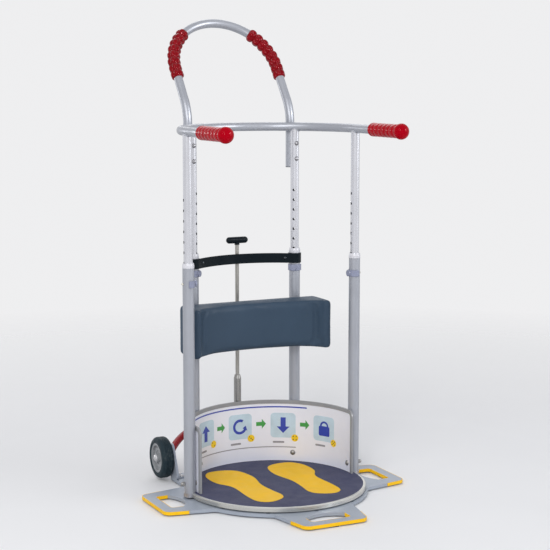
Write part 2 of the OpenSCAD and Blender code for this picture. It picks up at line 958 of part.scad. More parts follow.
module hoop_bolts() {
    front_y = rear_y - inner_r;
    back_y = leg_y + inner_r;
    spacer_len = leg_y - rear_y - inner_od - 2 * fit_gap;
    color(c_steel)
        both_sides()
            for (drop = hoop_bolt_drops)
                translate([rear_x, back_y + fit_gap, rail_z - drop])
                    rotate([90, 0, 0]) {
                        cylinder(h = back_y - front_y + 2 * fit_gap, d = bolt_d);
                        mirror([0, 0, 1])
                            dome(washer_d, nut_h);
                        translate([0, 0, back_y - front_y + 2 * fit_gap])
                            dome(washer_d, nut_h);
                        translate([0, 0, inner_od + 2 * fit_gap])
                            ring(washer_d / 2, (bolt_d + bolt_play) / 2, spacer_len);
                    }
}

plug_cap = 1.5;
plug_len = 14;

module hoop_plugs() {
    color(c_rubber)
        both_sides()
            translate([rear_x, leg_y, leg_bottom - plug_cap]) {
                cylinder(h = plug_cap, r = inner_r);
                cylinder(h = plug_cap + plug_len, r = inner_in_r - fit_gap);
            }
}

// Cross band
band_out_r = upright_r - tube_r - fit_gap;
band_z = band_top - band_h;
loop_r = tube_r + fit_gap;
rivet_d = 4;
rivet_turn = 6;
rivet_head_d = 8;
rivet_head_h = 2;

module band_rivet_places() {
    for (a = [rear_angle + rivet_turn, 180 - rear_angle - rivet_turn])
        rotate([0, 0, a])
            translate([band_out_r - band_t, 0, band_z + band_h / 2])
                rotate([0, 90, 0])
                    children();
}

module cross_band() {
    color(c_black)
        difference() {
            union() {
                translate([0, 0, band_z])
                    rotate([0, 0, rear_angle])
                        rotate_extrude(angle = 180 - 2 * rear_angle)
                            translate([band_out_r - band_t, 0])
                                square([band_t, band_h]);
                for (i = rear_uprights)
                    at_upright(i)
                        translate([0, 0, band_z])
                            cylinder(h = band_h, r = loop_r + band_t);
            }
            for (i = rear_uprights)
                at_upright(i)
                    translate([0, 0, band_z - over])
                        cylinder(h = band_h + 2 * over, r = loop_r);
            band_rivet_places()
                translate([0, 0, -over])
                    cylinder(h = band_t + 2 * over, d = rivet_d + bolt_play);
        }
}

module band_rivets() {
    color(c_steel)
        band_rivet_places() {
            translate([0, 0, -fit_gap])
                mirror([0, 0, 1])
                    dome(rivet_head_d, rivet_head_h);
            translate([0, 0, -fit_gap])
                cylinder(h = band_t + 2 * fit_gap, d = rivet_d);
            translate([0, 0, band_t + fit_gap])
                dome(rivet_head_d, rivet_head_h / 2);
        }
}

// Turning lock
lock_clear = 3;
lock_tip_share = 0.7;
lock_tip_h = lock_d / 4;
lock_tip_z = plate_top + lock_clear;
tee_z = band_top + tee_rise;
tee_neck_share = 1.3;
tee_neck_rise_share = 0.7;
tee_neck_d = lock_d * tee_neck_share;
tee_neck_h = tee_d * tee_neck_rise_share;
tee_socket = tee_d / 2;
sleeve_lift = 1;
sleeve_bottom = deck_level + sleeve_lift;
sleeve_top = deck_level + sleeve_top_rise;
sleeve_cone = sleeve_d / 2;
clamp_rises = [35, 125];
sleeve_clamp_h = 15;
sleeve_clamp_wall = 4.5;
sleeve_clamp_half = sleeve_d / 2 + sleeve_clamp_wall;
guide_h = 15;
guide_half = lock_d;

module rod_guide() {
    front_y = band_out_r + fit_gap;
    color(c_black)
        difference() {
            translate([-guide_half, front_y, band_z + (band_h - guide_h) / 2])
                cube([2 * guide_half, lock_r + lock_d - front_y, guide_h]);
            translate([0, lock_r, band_z - over])
                cylinder(h = band_h + 2 * over, r = lock_d / 2 + run_gap);
        }
}

module guide_sleeve() {
    color(c_steel)
        translate([0, lock_r, 0])
            difference() {
                union() {
                    translate([0, 0, sleeve_bottom])
                        cylinder(h = sleeve_top - sleeve_cone - sleeve_bottom, d = sleeve_d);
                    translate([0, 0, sleeve_top - sleeve_cone])
                        cylinder(h = sleeve_cone, d1 = sleeve_d, d2 = (sleeve_d + lock_d) / 2);
                }
                translate([0, 0, sleeve_bottom - over])
                    cylinder(h = sleeve_top - sleeve_bottom + 2 * over, r = lock_d / 2 + run_gap);
            }
}

module sleeve_clamps() {
    front_y = panel_out_r + fit_gap;
    color(c_steel)
        for (rise = clamp_rises)
            difference() {
                translate([-sleeve_clamp_half, front_y, deck_level + rise])
                    cube([2 * sleeve_clamp_half, lock_r + sleeve_clamp_half - front_y, sleeve_clamp_h]);
                translate([0, lock_r, deck_level + rise - over])
                    cylinder(h = sleeve_clamp_h + 2 * over, r = sleeve_d / 2 + fit_gap);
            }
}

module lock_rod() {
    color(c_bright)
        translate([0, lock_r, lock_tip_z]) {
            cylinder(h = lock_tip_h, d1 = lock_d * lock_tip_share, d2 = lock_d);
            translate([0, 0, lock_tip_h])
                cylinder(h = tee_z - tee_neck_h + tee_socket - lock_tip_z - lock_tip_h, d = lock_d);
        }
}

module tee_handle() {
    bar_half = tee_len / 2 - tee_d / 2;
    color(c_black)
        translate([0, lock_r, tee_z])
            difference() {
                union() {
                    translate([-bar_half, 0, 0])
                        rotate([0, 90, 0])
                            cylinder(h = 2 * bar_half, d = tee_d);
                    for (side = [-1, 1])
                        translate([side * bar_half, 0, 0])
                            sphere(d = tee_d);
                    translate([0, 0, -tee_neck_h])
                        cylinder(h = tee_neck_h, d = tee_neck_d);
                }
                translate([0, 0, -tee_neck_h - over])
                    cylinder(h = tee_socket + over, r = lock_d / 2 + fit_gap);
            }
}

// Knee pad, with a flat back on its plate and a hollow front
clamp_r = tube_r + 2 * clamp_wall;
clamp_half = tube_r + clamp_wall / 2;
clamp_front = tube_r + clamp_wall;
backing_y = rear_y - clamp_front - backing_t;
backing_h_share = 0.68;
backing_h = pad_h * backing_h_share;
backing_half = rear_x + clamp_r;
pad_back_y = backing_y - free_gap;
pad_half = pad_w / 2;
hollow_half = pad_half - pad_lip;

module at_pad_clamps() {
    both_sides()
        translate([rear_x, rear_y, pad_z])
            children();
}

// The pad is swept through rings of a crowned section, drawn in towards its ends
pad_rings = 30;
pad_sides = 32;
pad_crown = 4;
pad_square_share = 0.22;
pad_end_shares = [0.9, 0.965, 1];
function squared(v) = sign(v) * pow(abs(v), pad_square_share);
function pad_ring_share(k) = pad_end_shares[min(k, pad_rings - k, len(pad_end_shares) - 1)];
function pad_hollow_at(x) = abs(x) < hollow_half ? pad_hollow * sqrt(1 - pow(x / hollow_half, 2)) : 0;
function pad_point(k, j) =
    let (
        t = 360 * (j + 0.5) / pad_sides,
        share = pad_ring_share(k),
        x = pad_half * cos(180 * k / pad_rings),
        along = squared(sin(t)),
        deep = pad_t - pad_hollow_at(x) - pad_crown,
        crown = cos(t) < 0 ? pad_crown * (1 - along * along) : 0
    )
    [x, (squared(cos(t)) * share - 1) * deep / 2 - crown, along * pad_h / 2 * share];

module knee_pad() {
    points = [for (k = [0 : pad_rings]) for (j = [0 : pad_sides - 1]) pad_point(k, j)];
    walls = [
        for (k = [0 : pad_rings - 1])
            for (j = [0 : pad_sides - 1])
                let (a = k * pad_sides + j, b = k * pad_sides + (j + 1) % pad_sides)
                for (f = [[a, b, a + pad_sides], [b, b + pad_sides, a + pad_sides]])
                    f
    ];
    last = pad_rings * pad_sides;
    caps = concat(
        [for (j = [1 : pad_sides - 2]) [0, j + 1, j]],
        [for (j = [1 : pad_sides - 2]) [last, last + j, last + j + 1]]
    );
    color(c_pad)
        translate([0, pad_back_y, pad_z])
            polyhedron(points = points, faces = concat(walls, caps));
}

module pad_backing() {
    color(c_steel)
        translate([-backing_half, backing_y, pad_z - backing_h / 2])
            cube([2 * backing_half, backing_t, backing_h]);
}

module pad_clamps() {
    color(c_bright)
        at_pad_clamps()
            translate([0, 0, -clamp_h / 2])
                difference() {
                    union() {
                        cylinder(h = clamp_h, r = clamp_r);
                        translate([-clamp_half, -clamp_r, 0])
                            cube([2 * clamp_half, clamp_r, clamp_h]);
                    }
                    translate([0, 0, -over])
                        cylinder(h = clamp_h + 2 * over, r = tube_r + run_gap);
                    translate([-2 * clamp_r, fit_gap - clamp_front - 2 * clamp_r, -over])
                        cube([4 * clamp_r, 2 * clamp_r, clamp_h + 2 * over]);
                    translate([0, 0, clamp_h / 2])
                        rotate([-90, 0, 0])
                            cylinder(h = 2 * clamp_r, d = bolt_d + bolt_play);
                }
}

knob_d = 30;
knob_h = 14;
knob_lobes = 6;
knob_neck_h = 5;
knob_cut_place_share = 0.58;
knob_cut_share = 0.3;

module pad_knobs() {
    color(c_black)
        at_pad_clamps()
            rotate([-90, 0, 0])
                translate([0, 0, tube_r + run_gap + fit_gap]) {
                    cylinder(h = clamp_r - tube_r + knob_neck_h, d = bolt_d);
                    translate([0, 0, clamp_r - tube_r]) {
                        cylinder(h = knob_neck_h, d = knob_d / 2);
                        translate([0, 0, knob_neck_h])
                            difference() {
                                cylinder(h = knob_h, d = knob_d);
                                for (k = [0 : knob_lobes - 1])
                                    rotate([0, 0, k * 360 / knob_lobes])
                                        translate([knob_d * knob_cut_place_share, 0, -over])
                                            cylinder(h = knob_h + 2 * over, d = knob_d * knob_cut_share);
                            }
                    }
                }
}

// Wheels, brackets and foot bar
wheel_gap = 1;
bracket_in_x = axle_x - tyre_w / 2 - wheel_gap - bracket_t;
bracket_out_x = bracket_in_x + bracket_t;
bracket_boss_r = 16;
bar_boss_wall = 4;
bar_boss_r = bar_d / 2 + bar_boss_wall;
bar_setback = 19;
bar_y = axle_y - bar_setback;
bar_z = plate_top + bar_rise;
bar_over_turn = 6;
toe_setback = 53;
heel_setback = 18;
bracket_toe_y = axle_y - toe_setback;
bracket_heel_y = axle_y - heel_setback;
bracket_toe_r = 8;
flange_t = 3;
flange_w = 32;
bracket_bolt_d = 6;
bracket_bolt_x = bracket_in_x - flange_w / 2;
bracket_bolt_pitch = 20;
bracket_bolt_ys = [bracket_heel_y - bracket_bolt_pitch, bracket_heel_y];
bracket_head_rise_share = 0.6;
lug_corner_r = 10;

module bracket_lugs() {
    lug_in = bracket_in_x - flange_w - lug_corner_r;
    lug_out = bracket_out_x;
    lug_y = bracket_heel_y + bracket_toe_r - lug_corner_r;
    right = concat(
        [[lug_out, 0]],
        arc([lug_out - lug_corner_r, lug_y], lug_corner_r, 0, 90, arc_steps),
        arc([lug_in + lug_corner_r, lug_y], lug_corner_r, 90, 180, arc_steps),
        [[lug_in, plate_r / 2]]
    );
    polygon(concat(right, [for (v = reversed(right)) [-v[0], v[1]]]));
}

module wheel_bracket() {
    axle_at = [axle_y, axle_z];
    bar_at = [bar_y, bar_z];
    toe_at = [bracket_toe_y, plate_top + bracket_toe_r];
    heel_at = [bracket_heel_y, plate_top + bracket_toe_r];
    flange_y = bracket_bolt_ys[0] - bracket_boss_r / 2;
    color(c_plate)
        difference() {
            union() {
                translate([bracket_in_x, 0, 0])
                    rotate([90, 0, 90])
                        linear_extrude(bracket_t) {
                            link(axle_at, bracket_boss_r, bar_at, bar_boss_r);
                            link(bar_at, bar_boss_r, toe_at, bracket_toe_r);
                            link(axle_at, bracket_boss_r, heel_at, bracket_toe_r);
                            link(toe_at, bracket_toe_r, heel_at, bracket_toe_r);
                            polygon([axle_at, bar_at, toe_at, heel_at]);
                        }
                translate([bracket_in_x - flange_w, flange_y, plate_top])
                    cube([flange_w + bracket_t / 2, bracket_heel_y + bracket_toe_r - flange_y, flange_t]);
            }
            translate([bracket_in_x - over, axle_y, axle_z])
                rotate([0, 90, 0])
                    cylinder(h = bracket_t + 2 * over, d = axle_d + bolt_play);
            for (y = bracket_bolt_ys)
                translate([bracket_bolt_x, y, plate_top - over])
                    cylinder(h = flange_t + 2 * over, d = bracket_bolt_d + bolt_play);
        }
}

module bracket_bolts() {
    color(c_bright)
        both_sides()
            for (y = bracket_bolt_ys)
                translate([bracket_bolt_x, y, rubber_t + fit_gap]) {
                    cylinder(h = plate_t + flange_t, d = bracket_bolt_d);
                    translate([0, 0, plate_t + flange_t])
                        dome(bracket_bolt_d * 2, bracket_bolt_d * bracket_head_rise_share);
                }
}

axle_nut_share = 1.7;
axle_nut_rise_share = 0.7;
axle_nut_d = axle_d * axle_nut_share;
axle_nut_h = axle_d * axle_nut_rise_share;
axle_head_h = axle_d / 2;
bush_play = 0.1;
bush_x = bracket_out_x + bush_play;
bush_len = tyre_w + 2 * (wheel_gap - bush_play);
axle_head_x = bush_x + bush_len + bush_play;

module wheel_axles() {
    color(c_bright)
        both_sides()
            translate([0, axle_y, axle_z])
                rotate([0, 90, 0]) {
                    translate([0, 0, axle_head_x])
                        dome(axle_nut_d, axle_head_h);
                    translate([0, 0, bracket_in_x - axle_nut_h / 2])
                        cylinder(h = axle_head_x - bracket_in_x + axle_nut_h / 2, d = axle_d);
                    translate([0, 0, bracket_in_x - fit_gap])
                        mirror([0, 0, 1]) {
                            difference() {
                                union() {
                                    cylinder(h = axle_nut_h, d = axle_nut_d, $fn = 6);
                                    translate([0, 0, axle_nut_h])
                                        dome(axle_nut_d * cos(30), axle_nut_h);
                                }
                                translate([0, 0, -over])
                                    cylinder(h = axle_nut_h / 2 + over, r = axle_d / 2 + fit_gap);
                            }
                        }
                }
}

module foot_bar() {
    sag = [bar_reach - bar_y, bar_crown];
    rise = norm(sag);
    radius = (bracket_in_x * bracket_in_x + rise * rise) / (2 * rise);
    half_turn = asin(bracket_in_x / radius) + bar_over_turn;
    color(c_red)
        intersection() {
            translate([0, bar_y, bar_z])
                rotate([heading(sag), 0, 0])
                    translate([0, rise - radius, 0])
                        rotate([0, 0, 90 - half_turn])
                            tube_bend(radius, bar_d / 2, 2 * half_turn);
            translate([-bracket_in_x + fit_gap, 0, 0])
                cube([2 * (bracket_in_x - fit_gap), 2 * bar_reach, 4 * bar_z]);
        }
}

// A wheel's profile, from its middle plane outwards
hub_r = hub_d / 2;
wheel_r = wheel_d / 2;
tread_round_share = 0.3;
hub_web_share = 0.45;
hub_rim_share = 0.16;
hub_boss_share = 1.15;
bush_out_share = 0.8;
tread_round = tyre_w * tread_round_share;
hub_web_t = tyre_w * hub_web_share;
hub_rim_w = hub_r * hub_rim_share;
hub_boss_r = axle_d * hub_boss_share;
bush_out_r = axle_d * bush_out_share;
hub_inset = 2;

module tyre() {
    flat = tyre_w / 2 - tread_round;
    color(c_tyre)
        translate([axle_x, axle_y, axle_z])
            rotate([0, 90, 0])
                rotate_extrude()
                    polygon(concat(
                        [[hub_r + fit_gap, -tyre_w / 2]],
                        arc([wheel_r - tread_round, -flat], tread_round, -90, 0, arc_steps),
                        arc([wheel_r - tread_round, flat], tread_round, 0, 90, arc_steps),
                        [[hub_r + fit_gap, tyre_w / 2]]
                    ));
}

module wheel_hub() {
    rim_in_r = hub_r - hub_rim_w;
    mid_r = (rim_in_r + hub_boss_r) / 2;
    rib_half = hub_rim_w / 2;
    hub_w = tyre_w - hub_inset * 2;
    color(c_hub)
        translate([axle_x, axle_y, axle_z])
            rotate([0, 90, 0])
                rotate_extrude() {
                    translate([rim_in_r, -hub_w / 2])
                        square([hub_rim_w, hub_w]);
                    translate([bush_out_r + fit_gap, -hub_web_t / 2])
                        square([rim_in_r + hub_rim_w / 2 - bush_out_r, hub_web_t]);
                    translate([bush_out_r + fit_gap, -tyre_w / 2])
                        square([hub_boss_r - bush_out_r, tyre_w]);
                    translate([mid_r - rib_half, -hub_web_t / 2 - rib_half / 2])
                        square([2 * rib_half, hub_web_t + rib_half]);
                }
}

module wheel_bush() {
    color(c_white)
        translate([bush_x, axle_y, axle_z])
            rotate([0, 90, 0])
                ring(bush_out_r, axle_d / 2 + run_gap, bush_len);
}

base_plate();
ear_edging();
base_rubber();
pivot_post();
pivot_cap();
race(plate_top);  // lower_race
bearing_balls();
mirror([1, 0, 0]) wheel_bracket();  // wheel_bracket_left
wheel_bracket();  // wheel_bracket_right
bracket_bolts();
wheel_axles();
foot_bar();
mirror([1, 0, 0]) tyre();  // tyre_left
tyre();  // tyre_right
mirror([1, 0, 0]) wheel_hub();  // wheel_hub_left
wheel_hub();  // wheel_hub_right
mirror([1, 0, 0]) wheel_bush();  // wheel_bush_left
wheel_bush();  // wheel_bush_right
deck_plate();
deck_rim();
anti_slip_mat();
shoe_prints();
hub_bush();
race(deck_bottom - race_t);  // upper_race
guard_panel();
panel_trim();
panel_fasteners();
upright_feet();
lower_tube(0);  // lower_tube_right_front
lower_tube(1);  // lower_tube_right_rear
lower_tube(2);  // lower_tube_left_rear
lower_tube(3);  // lower_tube_left_front
collars();
cross_band();
band_rivets();
rod_guide();
guide_sleeve();
sleeve_clamps();
inner_tube(0);  // inner_tube_right_front
inner_tube(1);  // inner_tube_right_rear
inner_tube(2);  // inner_tube_left_rear
inner_tube(3);  // inner_tube_left_front
patient_rail();
mirror([1, 0, 0]) rail_grip();  // rail_grip_left
rail_grip();  // rail_grip_right
carer_hoop();
mirror([1, 0, 0]) hoop_grip();  // hoop_grip_left
hoop_grip();  // hoop_grip_right
hoop_bolts();
hoop_plugs();
lock_rod();
tee_handle();
knee_pad();
pad_backing();
pad_clamps();
pad_knobs();
clip(0);  // clip_right_front
clip(1);  // clip_right_rear
clip(2);  // clip_left_rear
clip(3);  // clip_left_front
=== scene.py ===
import json
import math

import bmesh
import bpy
import numpy as np
from mathutils import Matrix, Vector


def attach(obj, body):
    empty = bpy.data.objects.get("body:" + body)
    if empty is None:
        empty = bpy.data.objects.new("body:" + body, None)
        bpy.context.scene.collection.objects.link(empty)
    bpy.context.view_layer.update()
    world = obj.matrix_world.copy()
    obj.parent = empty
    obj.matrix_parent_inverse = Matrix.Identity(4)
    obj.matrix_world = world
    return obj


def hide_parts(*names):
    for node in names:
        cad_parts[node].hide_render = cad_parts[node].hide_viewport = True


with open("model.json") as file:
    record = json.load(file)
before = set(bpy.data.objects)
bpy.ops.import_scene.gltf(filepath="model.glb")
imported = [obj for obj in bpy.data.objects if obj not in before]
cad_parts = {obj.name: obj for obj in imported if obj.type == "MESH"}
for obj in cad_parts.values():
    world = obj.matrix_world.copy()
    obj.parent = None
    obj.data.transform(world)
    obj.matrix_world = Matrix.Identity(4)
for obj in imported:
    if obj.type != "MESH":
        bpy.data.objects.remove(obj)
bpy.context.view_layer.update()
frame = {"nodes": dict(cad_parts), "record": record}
nodes = frame["nodes"]
scene = bpy.context.scene

# Sizes that the CAD source fixes, in metres and degrees
DECK = 0.025
PANEL_IN_R = 0.208
UPRIGHT_R = 0.226
UPRIGHT_TURNS = {"right_front": 2, "right_rear": 51, "left_rear": 129, "left_front": 178}
INNER_R = 0.011
RAIL_Z = 0.896
REAR_X = UPRIGHT_R * math.cos(math.radians(UPRIGHT_TURNS["right_rear"]))
LEG_GAP = 0.00004
LEG_Y = math.sqrt((UPRIGHT_R + 2 * INNER_R + LEG_GAP) ** 2 - REAR_X ** 2)
BEND_RISE = 0.042
BEND_Z = RAIL_Z + BEND_RISE
LEAN = math.radians(36)
STRAIGHT = 0.131
AXLE = (0.212, 0.225, 0.059)


# Materials

looks = {}


def srgb(r, g, b):
    def linear(c):
        c /= 255
        return c / 12.92 if c <= 0.04045 else ((c + 0.055) / 1.055) ** 2.4
    return (linear(r), linear(g), linear(b), 1.0)


class Look:
    """A node material on the Principled shader, with object coordinates in metres.

    Texture scales are in features per metre, bump depths and edge radii in metres.
    """

    def __init__(self, name, color, rough, metal=0.0, edge=0.0, **sockets):
        self.mat = bpy.data.materials.new(name)
        self.mat.use_nodes = True
        self.tree = self.mat.node_tree
        self.shader = self.tree.nodes["Principled BSDF"]
        self.color = srgb(*color)
        self.rough = rough
        self.shader.inputs["Base Color"].default_value = self.color
        self.shader.inputs["Roughness"].default_value = rough
        self.shader.inputs["Metallic"].default_value = metal
        for key, value in sockets.items():
            self.shader.inputs[key.replace("_", " ")].default_value = value
        self.mat.diffuse_color = self.color
        self.object = self.tree.nodes.new("ShaderNodeTexCoord").outputs["Object"]
        self.normal = None
        if edge:
            self.normal = self.node("ShaderNodeBevel", {"Radius": edge}, samples=4).outputs[0]
            self.tree.links.new(self.normal, self.shader.inputs["Normal"])
        looks[name] = self

    def node(self, kind, inputs=(), **props):
        n = self.tree.nodes.new(kind)
        for key, value in props.items():
            setattr(n, key, value)
        for key, value in dict(inputs).items():
            if isinstance(value, bpy.types.NodeSocket):
                self.tree.links.new(value, n.inputs[key])
            else:
                n.inputs[key].default_value = value
        return n

    def stretched(self, scale, vector=None):
        ins = {"Vector": vector or self.object, "Scale": scale}
        return self.node("ShaderNodeMapping", ins).outputs[0]

    def length(self, vector):
        n = self.node("ShaderNodeVectorMath", {0: vector}, operation="LENGTH")
        return n.outputs["Value"]

    def radius(self):
        """Distance from the Z axis."""
        flat = self.node("ShaderNodeVectorMath", {0: self.object, 1: (1, 1, 0)}, operation="MULTIPLY")
        return self.length(flat.outputs[0])

    def around(self, arc_r=0.02):
        """Coordinates of a turned part about the Z axis: radius, angle times arc_r, height."""
        split = self.node("ShaderNodeSeparateXYZ", {"Vector": self.object})
        x, y, z = split.outputs
        angle = self.node("ShaderNodeMath", {0: y, 1: x}, operation="ARCTAN2").outputs[0]
        arc = self.node("ShaderNodeMath", {0: angle, 1: arc_r}, operation="MULTIPLY").outputs[0]
        return self.node("ShaderNodeCombineXYZ", {0: self.radius(), 1: arc, 2: z}).outputs[0]

    def noise(self, scale, detail=3.0, rough=0.55, vector=None):
        return self.node("ShaderNodeTexNoise", {
            "Vector": vector or self.object, "Scale": scale, "Detail": detail, "Roughness": rough,
        }).outputs[0]

    def cells(self, scale, feature="F1"):
        ins = {"Vector": self.object, "Scale": scale}
        return self.node("ShaderNodeTexVoronoi", ins, feature=feature).outputs["Distance"]

    def span(self, value, lo, hi, to_lo, to_hi):
        n = self.node("ShaderNodeMapRange", {0: value, 1: lo, 2: hi, 3: to_lo, 4: to_hi})
        return n.outputs[0]

    def vary(self, value, amount, tint=None, lo=0.3, hi=0.7):
        """Varies the base colour with a texture, darker to lighter, or towards a tint."""
        socket = self.shader.inputs["Base Color"]
        source = socket.links[0].from_socket if socket.links else self.color
        ins = {6: source}
        if tint:
            ins[0] = self.span(value, lo, hi, 0.0, amount)
            ins[7] = srgb(*tint)
        else:
            level = self.span(value, lo, hi, 1 - amount, 1 + amount)
            ins[0] = 1.0
            ins[7] = self.node("ShaderNodeCombineColor", {0: level, 1: level, 2: level}).outputs[0]
        blend = "MIX" if tint else "MULTIPLY"
        mix = self.node("ShaderNodeMix", data_type="RGBA", blend_type=blend, inputs=ins)
        self.tree.links.new(mix.outputs[2], socket)
        return self

    def gloss(self, value, amount, lo=0.3, hi=0.7):
        """Varies the roughness with a texture."""
        out = self.span(value, lo, hi, self.rough - amount, self.rough + amount)
        self.tree.links.new(out, self.shader.inputs["Roughness"])
        return self

    def bump(self, value, depth, strength=1.0):
        """Bump of a texture from 0 to 1, on top of what bends the normal already."""
        ins = {"Height": value, "Distance": depth, "Strength": strength}
        if self.normal:
            ins["Normal"] = self.normal
        self.normal = self.node("ShaderNodeBump", ins).outputs[0]
        self.tree.links.new(self.normal, self.shader.inputs["Normal"])
        return self


def coat(name, color, rough, metal, **sockets):
    """A sprayed coat: slight flake, orange peel and uneven gloss."""
    k = Look(name, color, rough, metal, edge=0.0006, **sockets)
    k.vary(k.noise(9, 4), 0.05).vary(k.noise(2600, 2), 0.06, lo=0.35, hi=0.65)
    k.gloss(k.noise(26, 4), 0.07)
    k.bump(k.noise(420, 2), 0.00005).bump(k.noise(2300, 1), 0.00001)


def brushed(name, color, rough, stretch, metal=1.0, tone=0.06):
    """Drawn or brushed metal: lines along the axis with the smallest stretch."""
    k = Look(name, color, rough, metal)
    lines = k.noise(1.0, 4, 0.6, vector=k.stretched(stretch))
    k.vary(lines, tone).vary(k.noise(14, 3), 0.04)
    k.gloss(lines, 0.06)
    k.bump(lines, 0.00002)


def moulded(name, color, rough, grain=1500, depth=0.00004, edge=0.0006, **sockets):
    """Moulded plastic or rubber: fine grain and a cloudy tone."""
    k = Look(name, color, rough, 0.0, edge=edge, **sockets)
    k.vary(k.noise(18, 4), 0.05).vary(k.noise(700, 2), 0.04)
    k.gloss(k.noise(40, 4), 0.08)
    k.bump(k.noise(grain, 2), depth)
    return k


def ink(name, color):
    k = Look(name, color, 0.38, 0.0, Coat_Weight=0.2, Coat_Roughness=0.15)
    k.vary(k.noise(40, 4), 0.07).vary(k.noise(900, 2), 0.05)
    k.gloss(k.noise(60, 3), 0.06).bump(k.noise(1200, 2), 0.00002)


coat("silver_coat", (164, 167, 175), 0.38, 0.4)
coat("base_coat", (158, 166, 178), 0.46, 0.1)
coat("bracket_coat", (156, 163, 175), 0.44, 0.15)
coat("red_coat", (140, 0, 16), 0.26, 0.0, Specular_IOR_Level=0.25)

brushed("sleeve_steel", (150, 149, 147), 0.27, (900, 900, 20), 0.9)
brushed("rod_steel", (165, 163, 158), 0.3, (900, 900, 20), 0.6)
brushed("tube_steel", (210, 211, 217), 0.24, (700, 700, 8), 0.85, 0.03)
brushed("steel", (150, 150, 154), 0.36, (700, 700, 60))
brushed("dark_steel", (58, 62, 66), 0.4, (700, 700, 60))
brushed("bolt_steel", (150, 149, 148), 0.46, (500, 500, 120), 0.8)
brushed("bright_steel", (206, 206, 208), 0.28, (500, 500, 120))
brushed("deck_alloy", (170, 170, 175), 0.4, (30, 900, 900))
brushed("foot_alloy", (180, 180, 186), 0.38, (400, 400, 40))

moulded("white_plastic", (214, 214, 220), 0.34)
moulded("trim_plastic", (146, 147, 150), 0.4)
moulded("black_plastic", (8, 20, 27), 0.3, Specular_IOR_Level=0.12)
moulded("hub_plastic", (148, 151, 154), 0.42)
moulded("black_rubber", (22, 22, 24), 0.75)
moulded("yellow", (250, 196, 10), 0.55, 900, 0.0001, Specular_IOR_Level=0.3)

# A clip is paler where only its pin is left, on the upright's outer side
PIN_FROM, PIN_TO = UPRIGHT_R + 0.0125, UPRIGHT_R + 0.013
k = moulded("clip_plastic", (140, 145, 168), 0.34, edge=0.002)
k.vary(k.radius(), 1.0, tint=(222, 218, 206), lo=PIN_FROM, hi=PIN_TO)

k = Look("rim_alloy", (198, 198, 194), 0.3, 0.9)
rings = k.noise(1.0, 4, 0.6, vector=k.stretched((1500, 40, 1500), k.around()))
k.vary(rings, 0.07).vary(k.noise(12, 3), 0.05).gloss(rings, 0.08).bump(rings, 0.00002)

k = Look("tyre", (24, 42, 50), 0.6, 0.0, Specular_IOR_Level=0.25)
k.vary(k.noise(22, 4), 0.12).vary(k.noise(60, 5), 0.35, tint=(104, 108, 108), lo=0.56, hi=0.8)
k.gloss(k.noise(40, 3), 0.1).bump(k.noise(900, 3), 0.00012)

k = Look("mat_rubber", (64, 66, 92), 0.66, 0.0, Specular_IOR_Level=0.3)
pebble = k.cells(330)
k.vary(pebble, 0.12, lo=0.1, hi=0.6).vary(k.noise(9, 5), 0.08)
k.vary(k.noise(24, 6), 0.22, tint=(96, 98, 116), lo=0.58, hi=0.85)
k.gloss(k.noise(30, 3), 0.08).bump(pebble, 0.0005, 0.8).bump(k.noise(1600, 2), 0.0001)

k = Look("panel_plastic", (237, 239, 249), 0.34, 0.0)
k.vary(k.noise(6, 4), 0.03).vary(k.noise(60, 5), 0.1, tint=(178, 178, 186), lo=0.6, hi=0.85)
k.gloss(k.noise(30, 4), 0.06).bump(k.noise(700, 2), 0.00004)

RED_SHINE = (1.0, 0.4, 0.45, 1.0)
for name, color, shine in (("red_grip", (134, 0, 14), 0.28), ("rail_red", (170, 0, 22), 0.1)):
    k = Look(name, color, 0.13, 0.0, Specular_IOR_Level=shine, Specular_Tint=RED_SHINE)
    k.vary(k.noise(40, 4), 0.1).vary(k.noise(900, 2), 0.05)
    k.gloss(k.noise(60, 4), 0.04).bump(k.noise(260, 2), 0.00002)

k = Look("pad_vinyl", (56, 73, 91), 0.5, 0.0, Specular_IOR_Level=0.15)
grain = k.cells(820)
creases = k.cells(300, "SMOOTH_F1")
k.vary(k.noise(8, 4), 0.06).vary(grain, 0.06, lo=0.1, hi=0.6)
k.gloss(k.noise(24, 4), 0.07)
k.bump(grain, 0.00012, 0.7).bump(creases, 0.0001, 0.5).bump(k.noise(70, 3), 0.0003, 0.5)

# These nodes share a slot with others and have a look of their own
OWN_LOOKS = {"band_rivets": "dark_steel", "lock_rod": "rod_steel", "panel_fasteners": "bolt_steel"}

for part in frame["record"]["subparts"]:
    mats = nodes[part["node"]].data.materials
    look = looks[OWN_LOOKS.get(part["node"], part["material_slot"])]
    if not mats:
        mats.append(look.mat)
    for i in range(len(mats)):
        mats[i] = look.mat


# Mesh helpers

def turns(count, offset=0.0):
    """Angles that go once round in equal steps."""
    return [2 * math.pi * (i + offset) / count for i in range(count)]


def added(name, mesh, body):
    o = bpy.data.objects.new(name, mesh)
    scene.collection.objects.link(o)
    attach(o, body)
    return o


def piece(name, mesh, look, body, smooth=True):
    mesh.materials.append(looks[look].mat)
    for p in mesh.polygons:
        p.use_smooth = smooth
    return added(name, mesh, body)


def mirrored(o, name, body):
    mesh = o.data.copy()
    mesh.name = name
    mesh.transform(Matrix.Scale(-1, 4, (1, 0, 0)))
    mesh.flip_normals()
    return added(name, mesh, body)


def solid_mesh(name, verts, faces):
    """A mesh with all its faces turned outwards."""
    mesh = bpy.data.meshes.new(name)
    mesh.from_pydata(verts, [], faces)
    bm = bmesh.new()
    bm.from_mesh(mesh)
    bmesh.ops.recalc_face_normals(bm, faces=bm.faces)
    bm.to_mesh(mesh)
    bm.free()
    return mesh


